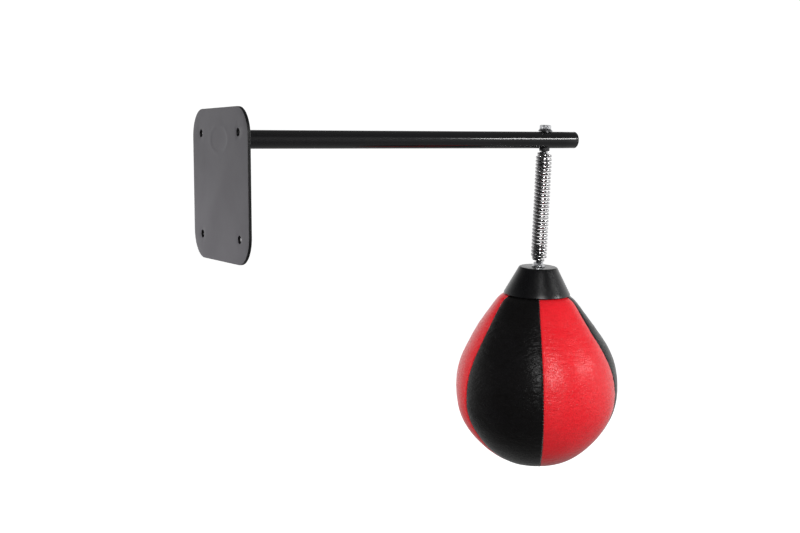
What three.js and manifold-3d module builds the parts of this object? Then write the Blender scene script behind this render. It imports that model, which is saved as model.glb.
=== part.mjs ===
// Wall-mounted spring speed bag: a wall plate carries a welded arm tube, a coil spring hangs from a
// cross bolt near the tube's end, and a six-panel leather bag with an inner bladder hangs from the
// spring. Millimetres, +Z up, +X along the arm away from the wall. The origin is the centre of the
// wall plate's rear face.

import * as THREE from "three";
import { mergeVertices } from "three/addons/utils/BufferGeometryUtils.js";
import Module from "manifold-3d";

const wasm = await Module();
wasm.setup();

// ---------------------------------------------------------------- driving dimensions

const GAP = 0.3; // clearance between pieces that touch
const LOOSE = 0.4; // radial play of a washer or plate on its bolt

const PLATE = { side: 200, thick: 4, corner: 37, holeSpacing: 135, holeDiameter: 10.5 };

const TUBE = { diameter: 25, wall: 2, axisZ: 59, endX: 568.4 };

const WELD = { leg: 4.5, bulge: 0.62 };

const END_CAP = {
  rim: 2, rimEdge: 1, plugDepth: 14, plugWall: 2, ribHeight: 0.6, ribHalfWidth: 1, ribs: 3,
};

// The spring and the bag hang on one axis that crosses the tube here. The cross holes are turned
// about the tube by LEAN, so the axis leans towards +Y on its way down.
const BOLT_X = 516;
const LEAN = THREE.MathUtils.degToRad(4.2);

// Distances down the hanging axis from the tube's centreline.
const SPRING_TOP = 16.6;
const SPRING_BOTTOM = 184.6;
const CAP_TOP = 192.3;
const CAP_RIM = 234;

const ARM_BOLT = {
  shank: 10, tip: 44, tipChamfer: 1, hexAcross: 15, hexHeight: 5.2, flange: 22, flangeRim: 1.6,
  flangeHeight: 4.4, holePlay: 0.5,
};
const SADDLE = { diameter: 15.4, bore: 10.8, bottom: SPRING_TOP - GAP };

const SPRING = {
  wire: 4.2, meanRadius: 10.55, coils: 30, topRadius: 8, bottomRadius: 7.2, taperTurns: 1.2,
};
const ANCHOR = { diameter: 16.2, length: 12, toEnd: 11.8, chamfer: 1 };

const BAG_BOLT = { shank: 8, hexAcross: 13, headHeight: 5.3, tip: 160, tipChamfer: 1 };
const CAP_NUT = { height: 5 };
const CAP_WASHER = { diameter: 20, thick: 1.7 };
const CAP = {
  topRadius: 28.9, rimRadius: 51.3, wall: 3, roof: 4, edge: 2.4, bossRadius: 14, bossDepth: 11.4,
};
const CLAMP = { diameter: 24, thick: 2.5 };
const LEATHER = { thick: 2.2, seamGap: 0.5, seamPull: 0.018 };

// Each seam's angle about the hanging axis at the cone's rim, the neck and the belly, and the local
// heights between which it drifts. The front red panel is cut wider at the belly.
const SEAMS = [
  { rim: 117.3, neck: 120.6, belly: 119 },
  { rim: 172.5, neck: 180.5, belly: 174 },
  { rim: 238.8, neck: 239.8, belly: 239.8 },
  { rim: 310.5, neck: 301, belly: 314 },
  { rim: 366.2, neck: 360.9, belly: 369 },
  { rim: 421.8, neck: 420.8, belly: 424 },
];
const NECK_DRIFT = { from: 8, to: -58 };
const BELLY_DRIFT = { from: -55, to: -180 };

// Each panel lies between the seam of its own number and the next.
const PANELS = [
  { name: "panel_red_left", colour: "red" },
  { name: "panel_black_front", colour: "black" },
  { name: "panel_red_front", colour: "red" },
  { name: "panel_black_right", colour: "black" },
  { name: "panel_red_back", colour: "red" },
  { name: "panel_black_back", colour: "black" },
];

// The leather's neck is clamped between the cone's boss and the clamp plate. Local heights.
const NECK_TOP = -CAP_TOP - CAP.bossDepth - GAP;
const CLAMP_TOP = NECK_TOP - LEATHER.thick - 3 * GAP;
const HEAD_SEAT = CLAMP_TOP - CLAMP.thick - GAP;

// The bag's half outline as [radius, height above the cap's rim plane], from its neck to its foot.
const BAG_OUTLINE = [
  [7, 29.8], [16, 29.2], [30, 17.6], [46.6, 0], [51, -2.2], [58.4, -8], [71.4, -25], [96, -60],
  [116.6, -100], [123.6, -138], [120, -175.5], [105.2, -207], [76.5, -238.6], [43.5, -258],
  [8, -264.2],
];

// Below the cap the bag swings back from the leaning axis, so that it hangs nearly plumb. The
// direction is measured from +X towards +Y.
const SWING = {
  angle: THREE.MathUtils.degToRad(5.1),
  direction: THREE.MathUtils.degToRad(-80.9),
  from: 5,
  length: 70,
};

const BLADDER = { inset: 6, wall: 1.4, shoulder: 0, foot: 10, mouthRadius: 7, mouthHeight: 12 };
const VALVE = { flangeRadius: 10, flangeThick: 1.5, stem: 9, needleHole: 1.2 };

// ---------------------------------------------------------------- materials

const finish = (color, roughness, metalness) =>
  new THREE.MeshStandardMaterial({ color, roughness, metalness });

const MATERIALS = {
  powderCoat: finish(0x2a2a2b, 0.45, 0.3),
  chrome: finish(0xd8dadc, 0.12, 1),
  steel: finish(0xb4b6b8, 0.35, 1),
  plastic: finish(0x161616, 0.5, 0),
  rubber: finish(0x202020, 0.8, 0),
  red: finish(0xd0202a, 0.45, 0),
  black: finish(0x141414, 0.45, 0),
};

// ---------------------------------------------------------------- solids

// A closed geometry as a manifold-3d solid.
function solid(geometry) {
  const bare = geometry.clone();
  bare.deleteAttribute("normal");
  bare.deleteAttribute("uv");
  const merged = mergeVertices(bare, 1e-4);
  const vertProperties = merged.attributes.position.array;
  return new wasm.Manifold(
    new wasm.Mesh({ numProp: 3, vertProperties, triVerts: new Uint32Array(merged.index.array) }),
  );
}

function geometryOf(body) {
  const { numVert, numProp, vertProperties, triVerts } = body.getMesh();
  const position = new Float32Array(numVert * 3);
  for (let i = 0; i < numVert; i++) {
    position.set(vertProperties.subarray(i * numProp, i * numProp + 3), i * 3);
  }
  const geometry = new THREE.BufferGeometry();
  geometry.setAttribute("position", new THREE.BufferAttribute(position, 3));
  geometry.setIndex(new THREE.BufferAttribute(triVerts, 1));
  return geometry;
}

const cut = (geometry, ...tools) =>
  geometryOf(tools.reduce((body, tool) => body.subtract(solid(tool)), solid(geometry)));

const join = (geometry, ...others) =>
  geometryOf(others.reduce((body, other) => body.add(solid(other)), solid(geometry)));

const common = (a, b) => geometryOf(solid(a).intersect(solid(b)));

// A solid of revolution about Z from its half section as [radius, z] points. A section that leaves
// the axis is closed on itself.
function turned(section, segments = 32) {
  const points = section.map(([r, z]) => new THREE.Vector2(r, z));
  const onAxis = section[0][0] === 0 && section.at(-1)[0] === 0;
  if (THREE.ShapeUtils.area(points) < 0) points.reverse();
  if (!onAxis) points.push(points[0].clone());
  return new THREE.LatheGeometry(points, segments).rotateX(Math.PI / 2);
}

const rod = (radius, top, bottom, segments = 24) =>
  new THREE.CylinderGeometry(radius, radius, top - bottom, segments)
    .rotateX(Math.PI / 2)
    .translate(0, 0, (top + bottom) / 2);

// A washer, bush or collar: a ring about Z.
const ring = (outer, inner, top, bottom, segments = 32) =>
  turned([[outer, bottom], [outer, top], [inner, top], [inner, bottom]], segments);

// A hexagonal prism about Z whose corners are chamfered at the top or at both ends.
const HEX_CHAMFER_SLOPE = 0.7;

function hex(across, top, bottom, { chamferBottom = false } = {}) {
  const cornerRadius = across / Math.sqrt(3);
  const flatRadius = across / 2;
  const bevel = (cornerRadius - flatRadius) * HEX_CHAMFER_SLOPE;
  const blank = rod(cornerRadius, top, bottom, 6);
  const lower = chamferBottom
    ? [[flatRadius, bottom], [cornerRadius, bottom + bevel]]
    : [[cornerRadius, bottom]];
  const turning = turned(
    [[0, bottom], ...lower, [cornerRadius, top - bevel], [flatRadius, top], [0, top]], 36,
  );
  return common(blank, turning);
}

// ---------------------------------------------------------------- wall plate and arm

function wallPlate() {
  const half = PLATE.side / 2;
  const straight = half - PLATE.corner;
  const outline = new THREE.Shape();
  outline.absarc(straight, straight, PLATE.corner, 0, Math.PI / 2);
  outline.absarc(-straight, straight, PLATE.corner, Math.PI / 2, Math.PI);
  outline.absarc(-straight, -straight, PLATE.corner, Math.PI, Math.PI * 1.5);
  outline.absarc(straight, -straight, PLATE.corner, Math.PI * 1.5, Math.PI * 2);
  for (const sideY of [-1, 1]) {
    for (const sideZ of [-1, 1]) {
      const hole = new THREE.Path();
      const centre = PLATE.holeSpacing / 2;
      hole.absarc(sideY * centre, sideZ * centre, PLATE.holeDiameter / 2, 0, Math.PI * 2, true);
      outline.holes.push(hole);
    }
  }
  // The outline's own axes become +Y and +Z, and the extrusion runs along +X from the rear face.
  return new THREE.ExtrudeGeometry(outline, { depth: PLATE.thick, bevelEnabled: false, curveSegments: 10 })
    .applyMatrix4(new THREE.Matrix4().makeBasis(
      new THREE.Vector3(0, 1, 0), new THREE.Vector3(0, 0, 1), new THREE.Vector3(1, 0, 0),
    ));
}

// Turned solids whose Z axis is laid along the arm.
const alongArm = (geometry) => geometry.rotateY(Math.PI / 2);

function weldBead() {
  const inner = TUBE.diameter / 2 + GAP;
  const start = PLATE.thick + GAP;
  const toe = inner + WELD.leg;
  const end = start + WELD.leg;
  const bulge = WELD.leg * WELD.bulge;
  return alongArm(turned(
    [[inner, start], [toe, start], [inner + bulge, start + bulge], [inner, end]], 40,
  ));
}

function armTube() {
  const outer = TUBE.diameter / 2;
  const start = PLATE.thick + GAP;
  const tube = alongArm(ring(outer, outer - TUBE.wall, TUBE.endX, start, 40));
  const holeRadius = ARM_BOLT.shank / 2 + ARM_BOLT.holePlay;
  const crossHole = rod(holeRadius, TUBE.diameter, -TUBE.diameter)
    .rotateX(LEAN)
    .translate(BOLT_X, 0, 0);
  return cut(tube, crossHole);
}

// A plastic plug pressed into the tube: a rim that covers the tube's end and a hollow ribbed skirt.
function tubeEndCap() {
  const rimRadius = TUBE.diameter / 2;
  const skirt = rimRadius - TUBE.wall - GAP;
  const body = skirt - END_CAP.ribHeight;
  const hollow = body - END_CAP.plugWall;
  const face = TUBE.endX + GAP;
  const start = face - END_CAP.plugDepth;
  const pitch = (END_CAP.plugDepth - GAP) / END_CAP.ribs;
  const section = [[0, face], [hollow, face], [hollow, start], [body, start]];
  for (let i = 0; i < END_CAP.ribs; i++) {
    const rib = start + pitch * (i + 0.5);
    section.push([body, rib - END_CAP.ribHalfWidth], [skirt, rib], [body, rib + END_CAP.ribHalfWidth]);
  }
  const front = face + END_CAP.rim;
  section.push([body, face], [rimRadius, face], [rimRadius, front - END_CAP.rimEdge]);
  section.push([rimRadius - END_CAP.rimEdge, front], [0, front]);
  return alongArm(turned(section, 28));
}

// ---------------------------------------------------------------- fasteners on the hanging axis
// These are made about the local Z axis, with z = 0 on the tube's centreline.

function armBolt() {
  const seat = TUBE.diameter / 2 + GAP;
  const { shank, tip, tipChamfer, hexAcross, hexHeight, flange, flangeRim, flangeHeight } = ARM_BOLT;
  const hexTop = seat + flangeHeight + hexHeight;
  const neck = hexAcross / 2 + LOOSE;
  const turning = turned([
    [0, -tip], [shank / 2 - tipChamfer, -tip], [shank / 2, tipChamfer - tip], [shank / 2, seat],
    [flange / 2, seat], [flange / 2, seat + flangeRim], [neck, seat + flangeHeight],
    [0, seat + flangeHeight],
  ]);
  return join(turning, hex(hexAcross, hexTop, seat + flangeRim));
}

// A washer whose upper face is hollowed to the tube, so that the spring's top coil seats square.
function saddleWasher() {
  const blank = ring(SADDLE.diameter / 2, SADDLE.bore / 2, 0, -SADDLE.bottom);
  const tubeRadius = TUBE.diameter / 2 + GAP;
  const tubeBore = new THREE.CylinderGeometry(tubeRadius, tubeRadius, TUBE.diameter * 2, 48)
    .rotateZ(Math.PI / 2);
  return cut(blank, tubeBore);
}

// A turned slug inside the spring that the spring's reduced end coil hooks over.
function anchor(boreRadius, top) {
  const outer = ANCHOR.diameter / 2;
  const bottom = top - ANCHOR.length;
  const edge = ANCHOR.chamfer;
  return turned([
    [boreRadius, bottom], [outer - edge, bottom], [outer, bottom + edge], [outer, top - edge],
    [outer - edge, top], [boreRadius, top],
  ]);
}

// The spring's wire: a helix of constant radius whose last turns draw in at both ends.
class SpringWire extends THREE.Curve {
  getPoint(t) {
    const turn = t * SPRING.coils;
    const fromTop = THREE.MathUtils.smoothstep(turn, 0, SPRING.taperTurns);
    const fromBottom = THREE.MathUtils.smoothstep(SPRING.coils - turn, 0, SPRING.taperTurns);
    const radius = SPRING.meanRadius
      - (1 - fromTop) * (SPRING.meanRadius - SPRING.topRadius)
      - (1 - fromBottom) * (SPRING.meanRadius - SPRING.bottomRadius);
    const first = SPRING_TOP + SPRING.wire / 2;
    const last = SPRING_BOTTOM - SPRING.wire / 2;
    const angle = turn * 2 * Math.PI;
    const z = -THREE.MathUtils.lerp(first, last, t);
    return new THREE.Vector3(radius * Math.cos(angle), radius * Math.sin(angle), z);
  }
}

function coilSpring() {
  const wire = new SpringWire();
  wire.arcLengthDivisions = SPRING.coils * 40;
  const section = new THREE.Shape();
  section.absarc(0, 0, SPRING.wire / 2, 0, Math.PI * 2);
  return new THREE.ExtrudeGeometry(section, {
    extrudePath: wire, steps: SPRING.coils * 12, curveSegments: 4, bevelEnabled: false,
  });
}

function capWasher() {
  const seat = GAP - CAP_TOP;
  return ring(CAP_WASHER.diameter / 2, BAG_BOLT.shank / 2 + LOOSE, seat + CAP_WASHER.thick, seat);
}

function capNut() {
  const seat = CAP_WASHER.thick + 2 * GAP - CAP_TOP;
  const blank = hex(BAG_BOLT.hexAcross, seat + CAP_NUT.height, seat, { chamferBottom: true });
  return cut(blank, rod(BAG_BOLT.shank / 2 + GAP, 0, -CAP_RIM));
}

// The bolt's head is inside the bag, and its shank comes up through the clamp plate, the cone and
// the nut into the spring's lower anchor.
function bagBolt() {
  const radius = BAG_BOLT.shank / 2;
  const top = -BAG_BOLT.tip;
  const headBottom = HEAD_SEAT - BAG_BOLT.headHeight;
  const edge = BAG_BOLT.tipChamfer;
  const shank = turned([
    [0, headBottom], [radius, headBottom], [radius, top - edge], [radius - edge, top], [0, top],
  ]);
  return join(shank, hex(BAG_BOLT.hexAcross, HEAD_SEAT, headBottom));
}

// ---------------------------------------------------------------- cone cap and clamp plate

function coneCap() {
  const height = CAP_RIM - CAP_TOP;
  const flare = (CAP.rimRadius - CAP.topRadius) / height;
  const slantWall = CAP.wall * Math.hypot(1, flare);
  const bore = BAG_BOLT.shank / 2 + LOOSE;
  const innerAt = (depth) => CAP.topRadius + flare * depth - slantWall;
  const section = [[bore, 0], [CAP.topRadius - CAP.edge, 0]];
  for (const a of [Math.PI / 6, Math.PI / 3]) {
    section.push([CAP.topRadius - CAP.edge * (1 - Math.sin(a)), -CAP.edge * (1 - Math.cos(a))]);
  }
  section.push([CAP.topRadius + flare * CAP.edge, -CAP.edge]);
  section.push([CAP.rimRadius, -height], [innerAt(height), -height]);
  section.push([innerAt(CAP.roof), -CAP.roof], [CAP.bossRadius, -CAP.roof]);
  section.push([CAP.bossRadius, -CAP.bossDepth], [bore, -CAP.bossDepth]);
  return turned(section, 44).translate(0, 0, -CAP_TOP);
}

function clampPlate() {
  return ring(CLAMP.diameter / 2, BAG_BOLT.shank / 2 + LOOSE, CLAMP_TOP, CLAMP_TOP - CLAMP.thick);
}

// ---------------------------------------------------------------- bag

// Points of the bag's half outline, moved inwards by inset: two to each span of the curve.
const OUTLINE_STEPS = 2 * (BAG_OUTLINE.length - 1);

function outline(inset) {
  const corners = BAG_OUTLINE.map(([r, z]) => new THREE.Vector3(r, 0, z));
  const curve = new THREE.CatmullRomCurve3(corners, false, "centripetal");
  return Array.from({ length: OUTLINE_STEPS + 1 }, (_, i) => {
    const point = curve.getPoint(i / OUTLINE_STEPS);
    const along = curve.getTangent(i / OUTLINE_STEPS);
    return [point.x + along.z * inset, point.z - along.x * inset];
  });
}

// Swings a point of the straight bag back from the leaning axis: each level turns about the
// spot where the axis has got to.
function swingBack(point) {
  const depth = -point.z;
  const reach = THREE.MathUtils.clamp((depth - SWING.from) / SWING.length, 0, 1);
  const below = Math.max(depth - SWING.from - SWING.length, 0);
  const angle = SWING.angle * reach;
  const drift = SWING.angle * ((SWING.length * reach * reach) / 2 + below);
  const upright = new THREE.Vector3(0, 0, 1);
  point.applyAxisAngle(upright, -SWING.direction);
  point.set(point.x * Math.cos(angle) + drift, point.y, point.z + point.x * Math.sin(angle));
  return point.applyAxisAngle(upright, SWING.direction);
}

function bend(geometry) {
  const position = geometry.attributes.position;
  const point = new THREE.Vector3();
  for (let i = 0; i < position.count; i++) {
    point.fromBufferAttribute(position, i);
    swingBack(point);
    position.setXYZ(i, point.x, point.y, point.z);
  }
  return geometry.translate(0, 0, -CAP_RIM);
}

// The angle in radians of a seam at a local height. Seam six is seam zero, one turn on.
function seamAngle(number, z) {
  const { rim, neck, belly } = SEAMS[number % SEAMS.length];
  const drift = ({ from, to }) => THREE.MathUtils.smoothstep(-z, -from, -to);
  const angle = rim + (neck - rim) * drift(NECK_DRIFT) + (belly - neck) * drift(BELLY_DRIFT);
  return THREE.MathUtils.degToRad(angle + 360 * Math.floor(number / SEAMS.length));
}

// One leather panel: a shell over a sixth of the turn, drawn in a little at its seams.
function leatherPanel(number) {
  const rows = OUTLINE_STEPS;
  const columns = 6;
  const positions = [];
  for (const inset of [0, LEATHER.thick]) {
    for (const [radius, z] of outline(inset)) {
      const start = seamAngle(number, z);
      const end = seamAngle(number + 1, z);
      const centre = (start + end) / 2;
      const reach = (end - start) / 2 - LEATHER.seamGap / 2 / radius;
      for (let column = 0; column <= columns; column++) {
        const across = (2 * column) / columns - 1;
        const drawn = radius * (1 - LEATHER.seamPull * across ** 4);
        const angle = centre + reach * across;
        positions.push(drawn * Math.cos(angle), drawn * Math.sin(angle), z);
      }
    }
  }
  const layer = (rows + 1) * (columns + 1);
  const at = (inner, row, column) => inner * layer + row * (columns + 1) + column;
  const triangles = [];
  const quad = (a, b, c, d) => triangles.push(a, b, c, a, c, d);
  for (let row = 0; row < rows; row++) {
    for (let column = 0; column < columns; column++) {
      quad(at(0, row, column), at(0, row + 1, column), at(0, row + 1, column + 1), at(0, row, column + 1));
      quad(at(1, row, column), at(1, row, column + 1), at(1, row + 1, column + 1), at(1, row + 1, column));
    }
    quad(at(0, row, 0), at(1, row, 0), at(1, row + 1, 0), at(0, row + 1, 0));
    quad(at(0, row, columns), at(0, row + 1, columns), at(1, row + 1, columns), at(1, row, columns));
  }
  for (let column = 0; column < columns; column++) {
    quad(at(0, 0, column), at(0, 0, column + 1), at(1, 0, column + 1), at(1, 0, column));
    quad(at(0, rows, column), at(1, rows, column), at(1, rows, column + 1), at(0, rows, column + 1));
  }
  const geometry = new THREE.BufferGeometry();
  geometry.setAttribute("position", new THREE.Float32BufferAttribute(positions, 3));
  geometry.setIndex(triangles);
  return bend(geometry);
}

// The air bladder: a rubber shell that follows the leather from inside, with a mouth at its top.
function bladder() {
  const skin = (inset) => outline(inset).filter(([r, z]) => z < BLADDER.shoulder && r > BLADDER.foot);
  const outer = skin(BLADDER.inset);
  const inner = skin(BLADDER.inset + BLADDER.wall);
  const { mouthRadius, mouthHeight, wall } = BLADDER;
  return bend(turned([
    [0, outer.at(-1)[1]], ...outer.reverse(), [mouthRadius, mouthHeight],
    [mouthRadius, mouthHeight - wall], ...inner, [0, inner.at(-1)[1]],
  ], 20));
}

// The inflation valve: a rubber plug in the bladder's mouth with a needle hole through it.
function bladderValve() {
  const seat = BLADDER.mouthHeight + GAP;
  const stemRadius = BLADDER.mouthRadius - GAP;
  return bend(turned([
    [VALVE.needleHole, seat - VALVE.stem], [stemRadius, seat - VALVE.stem], [stemRadius, seat],
    [VALVE.flangeRadius, seat], [VALVE.flangeRadius, seat + VALVE.flangeThick],
    [VALVE.needleHole, seat + VALVE.flangeThick],
  ], 24));
}

// ---------------------------------------------------------------- assembly

const speedBag = new THREE.Group();

function add(parent, name, geometry, material) {
  const mesh = new THREE.Mesh(geometry, MATERIALS[material]);
  mesh.name = name;
  parent.add(mesh);
}

add(speedBag, "wall_plate", wallPlate(), "powderCoat");

const arm = new THREE.Group();
arm.position.z = TUBE.axisZ;
speedBag.add(arm);
add(arm, "weld_bead", weldBead(), "powderCoat");
add(arm, "arm_tube", armTube(), "powderCoat");
add(arm, "tube_end_cap", tubeEndCap(), "plastic");

const hanging = new THREE.Group();
hanging.position.x = BOLT_X;
hanging.rotation.x = LEAN;
arm.add(hanging);
add(hanging, "arm_bolt", armBolt(), "chrome");
add(hanging, "saddle_washer", saddleWasher(), "plastic");
add(hanging, "upper_anchor", anchor(ARM_BOLT.shank / 2 + GAP, -SPRING_TOP - ANCHOR.toEnd), "steel");
add(hanging, "coil_spring", coilSpring(), "chrome");
add(
  hanging, "lower_anchor",
  anchor(BAG_BOLT.shank / 2 + GAP, ANCHOR.toEnd + ANCHOR.length - SPRING_BOTTOM), "steel",
);
add(hanging, "cap_nut", capNut(), "chrome");
add(hanging, "cap_washer", capWasher(), "chrome");
add(hanging, "bag_bolt", bagBolt(), "steel");
add(hanging, "cone_cap", coneCap(), "plastic");
add(hanging, "clamp_plate", clampPlate(), "steel");
for (const [number, { name, colour }] of PANELS.entries()) {
  add(hanging, name, leatherPanel(number), colour);
}
add(hanging, "bladder", bladder(), "rubber");
add(hanging, "bladder_valve", bladderValve(), "rubber");

export default speedBag;
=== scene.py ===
"""Looks for the wall-mounted spring speed bag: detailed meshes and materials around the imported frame."""

import math

import bmesh
import bpy
import numpy as np
from mathutils import Matrix, Vector, geometry, noise


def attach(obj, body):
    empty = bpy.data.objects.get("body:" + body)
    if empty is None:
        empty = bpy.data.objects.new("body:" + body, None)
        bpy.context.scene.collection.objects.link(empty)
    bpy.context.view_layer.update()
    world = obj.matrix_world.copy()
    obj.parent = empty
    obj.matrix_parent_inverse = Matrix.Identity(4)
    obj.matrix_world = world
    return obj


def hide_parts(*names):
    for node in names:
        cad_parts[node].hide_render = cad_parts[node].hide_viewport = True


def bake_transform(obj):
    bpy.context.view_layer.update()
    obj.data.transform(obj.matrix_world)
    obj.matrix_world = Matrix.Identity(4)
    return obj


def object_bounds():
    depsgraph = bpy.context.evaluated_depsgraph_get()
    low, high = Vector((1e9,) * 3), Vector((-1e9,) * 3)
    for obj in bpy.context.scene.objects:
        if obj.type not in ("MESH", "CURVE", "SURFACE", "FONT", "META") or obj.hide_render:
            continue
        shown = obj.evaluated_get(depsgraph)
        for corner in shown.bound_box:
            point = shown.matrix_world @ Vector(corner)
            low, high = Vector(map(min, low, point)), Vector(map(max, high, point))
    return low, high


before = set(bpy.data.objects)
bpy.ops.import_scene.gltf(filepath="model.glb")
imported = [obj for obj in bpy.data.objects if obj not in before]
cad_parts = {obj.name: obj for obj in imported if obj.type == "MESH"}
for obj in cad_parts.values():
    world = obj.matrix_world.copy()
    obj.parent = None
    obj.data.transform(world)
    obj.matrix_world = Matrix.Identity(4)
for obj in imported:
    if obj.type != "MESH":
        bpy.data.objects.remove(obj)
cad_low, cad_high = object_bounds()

# ---------------------------------------------------------------- dimensions, in millimetres

MM = 0.001
GAP = 0.3
PLATE_SIDE, PLATE_THICK, PLATE_CORNER = 200.0, 4.0, 37.0
HOLE_SPACING, HOLE_RADIUS = 135.0, 5.25
TUBE_RADIUS, TUBE_WALL, TUBE_Z, TUBE_START, TUBE_END = 12.5, 2.0, 59.0, 4.3, 568.4
WELD_LEG = 4.5
BOLT_X, LEAN = 516.0, math.radians(4.2)
SPRING_TOP, SPRING_BOTTOM, CAP_TOP, CAP_RIM = 16.6, 184.6, 192.3, 234.0
WIRE, COIL_RADIUS, COILS, TAPER_TURNS = 4.2, 10.55, 30, 1.2
COIL_TOP_RADIUS, COIL_BOTTOM_RADIUS = 8.0, 7.2
HAND = 1.0
SPLIT = 101.0
ANCHOR_RADIUS, ANCHOR_LENGTH, ANCHOR_INSET = 8.1, 12.0, 11.8
LEATHER, SEAM_GAP, SEAM_PULL = 2.2, 0.5, 0.018
SWING, SWING_TOWARDS = math.radians(5.1), math.radians(-80.9)
SWING_FROM, SWING_LENGTH = 5.0, 70.0
VIEW_YAW = math.radians(28.8)
OUTLINE = [
    (7, 29.8), (16, 29.2), (30, 17.6), (46.6, 0), (51, -2.2), (58.4, -8), (71.4, -25), (96.0, -60),
    (116.6, -100), (123.6, -138), (120.0, -175.5), (105.2, -207), (76.5, -238.6), (43.5, -258), (8, -264.2),
]
# Each seam's angle at the cone's rim, at the neck and at the belly, and the depths where it drifts.
SEAMS = [
    (117.3, 120.6, 119.0), (172.5, 180.5, 174.0), (238.8, 239.8, 239.8),
    (310.5, 301.0, 314.0), (366.2, 360.9, 369.0), (421.8, 420.8, 424.0),
]
NECK_DRIFT, BELLY_DRIFT = (-8.0, 58.0), (55.0, 180.0)
PANELS = [
    ("panel_red_left", "red"), ("panel_black_front", "black"), ("panel_red_front", "red"),
    ("panel_black_right", "black"), ("panel_red_back", "red"), ("panel_black_back", "black"),
]

# The hanging axis: local z is 0 at the tube's centreline and runs down the axis.
HANG = Matrix.Translation((BOLT_X * MM, 0, TUBE_Z * MM)) @ Matrix.Rotation(LEAN, 4, "X")
ARM = Matrix.Translation((0, 0, TUBE_Z * MM)) @ Matrix.Rotation(math.pi / 2, 4, "Y")


# ---------------------------------------------------------------- meshes


def mesh_object(name, points, faces, place=None, sharp=35):
    """A smooth-shaded mesh from points in millimetres; edges sharper than the angle stay crisp."""
    mesh = bpy.data.meshes.new(name)
    mesh.from_pydata([tuple(c * MM for c in p) for p in points], [], faces)
    mesh.validate()
    if place is not None:
        mesh.transform(place)
    made = bmesh.new()
    made.from_mesh(mesh)
    bmesh.ops.recalc_face_normals(made, faces=made.faces)
    made.to_mesh(mesh)
    made.free()
    mesh.polygons.foreach_set("use_smooth", [True] * len(mesh.polygons))
    if sharp:
        mesh.set_sharp_from_angle(angle=math.radians(sharp))
    made = bpy.data.objects.new(name, mesh)
    bpy.context.scene.collection.objects.link(made)
    return made


def filleted(corners, steps=4):
    """A half section whose corners, as (r, z, fillet), are rounded."""
    out = []
    for i, (r, z, fillet) in enumerate(corners):
        corner = Vector((r, z))
        if not fillet:
            out.append((r, z))
            continue
        before = (Vector(corners[i - 1][:2]) - corner).normalized()
        after = (Vector(corners[(i + 1) % len(corners)][:2]) - corner).normalized()
        half = before.angle(after) / 2
        centre = corner + (before + after).normalized() * fillet / math.sin(half)
        start = corner + before * fillet / math.tan(half) - centre
        end = corner + after * fillet / math.tan(half) - centre
        turn = math.atan2(start.x * end.y - start.y * end.x, start.dot(end))
        for k in range(steps + 1):
            a = turn * k / steps
            c, s = math.cos(a), math.sin(a)
            out.append((centre.x + start.x * c - start.y * s, centre.y + start.x * s + start.y * c))
    return out


def lathe(section, segments, wobble=None):
    """Points and faces of a solid of revolution about z. A section may start and end on the axis."""
    points, rows = [], []
    for i, (r, z) in enumerate(section):
        if r < 1e-9:
            rows.append([len(points)])
            points.append((0.0, 0.0, z))
            continue
        rows.append(range(len(points), len(points) + segments))
        for k in range(segments):
            a = 2 * math.pi * k / segments
            rr, zz = wobble(i, a, r, z) if wobble else (r, z)
            points.append((rr * math.cos(a), rr * math.sin(a), zz))
    faces = []
    pairs = list(zip(rows, rows[1:]))
    if len(rows[0]) > 1 and len(rows[-1]) > 1:
        pairs.append((rows[-1], rows[0]))
    for a, b in pairs:
        if len(a) == 1 and len(b) == 1:
            continue
        for k in range(segments):
            n = (k + 1) % segments
            if len(a) == 1:
                faces.append((a[0], b[n], b[k]))
            elif len(b) == 1:
                faces.append((a[k], a[n], b[0]))
            else:
                faces.append((a[k], a[n], b[n], b[k]))
    return points, faces


def hexagonal(across, low, high, bore=0.0, chamfer_low=False):
    """A hexagonal prism whose corners are turned to a cone at the top, or at both ends."""
    flat, segments = across / 2, 96
    ring = flat * 0.96
    slope = math.tan(math.radians(28))

    def radius(a):
        return flat / math.cos((a + math.pi / 6) % (math.pi / 3) - math.pi / 6)

    def wobble(i, a, r, z):
        if r != across:
            return r, z
        drop = (radius(a) - ring) * slope
        if z == high:
            return radius(a), high - drop
        return radius(a), low + (drop if chamfer_low else 0)

    section = [(ring, high), (across, high), (across, low), (ring, low)]
    if bore:
        section = [(bore, high - 0.5), (bore + 0.5, high), *section, (bore + 0.5, low), (bore, low + 0.5)]
    else:
        section = [(0, high - 0.35), (ring * 0.45, high - 0.3), (ring * 0.7, high), *section, (0, low)]
    return lathe(section, segments, wobble)


def threaded(radius, low, high, pitch, depth):
    """A half section of a thread's crests and roots from low to high, on the outside only."""
    section = []
    turns = int((high - low) / pitch)
    for i in range(turns):
        z = low + (high - low) * i / turns
        section += [(radius, z + 0.1 * pitch), (radius, z + 0.2 * pitch), (radius - depth, z + 0.6 * pitch)]
    return section


def joined(name, parts, **keys):
    """One object from several (points, faces) bodies."""
    points, faces = [], []
    for p, f in parts:
        base = len(points)
        points += p
        faces += [tuple(base + i for i in face) for face in f]
    return mesh_object(name, points, faces, **keys)


def boolean(target, cutter, operation="DIFFERENCE"):
    """Cuts one object with another and applies it."""
    modifier = target.modifiers.new("cut", "BOOLEAN")
    modifier.operation, modifier.object, modifier.solver = operation, cutter, "EXACT"
    bpy.context.view_layer.update()
    done = bpy.data.meshes.new_from_object(target.evaluated_get(bpy.context.evaluated_depsgraph_get()))
    target.modifiers.clear()
    target.data = done
    bpy.data.objects.remove(cutter)
    done.polygons.foreach_set("use_smooth", [True] * len(done.polygons))
    done.set_sharp_from_angle(angle=math.radians(35))
    return target


def smoothstep(x, low=0.0, high=1.0):
    t = np.clip((np.asarray(x, float) - low) / (high - low), 0, 1)
    return t * t * (3 - 2 * t)


# ---------------------------------------------------------------- material nodes


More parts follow.
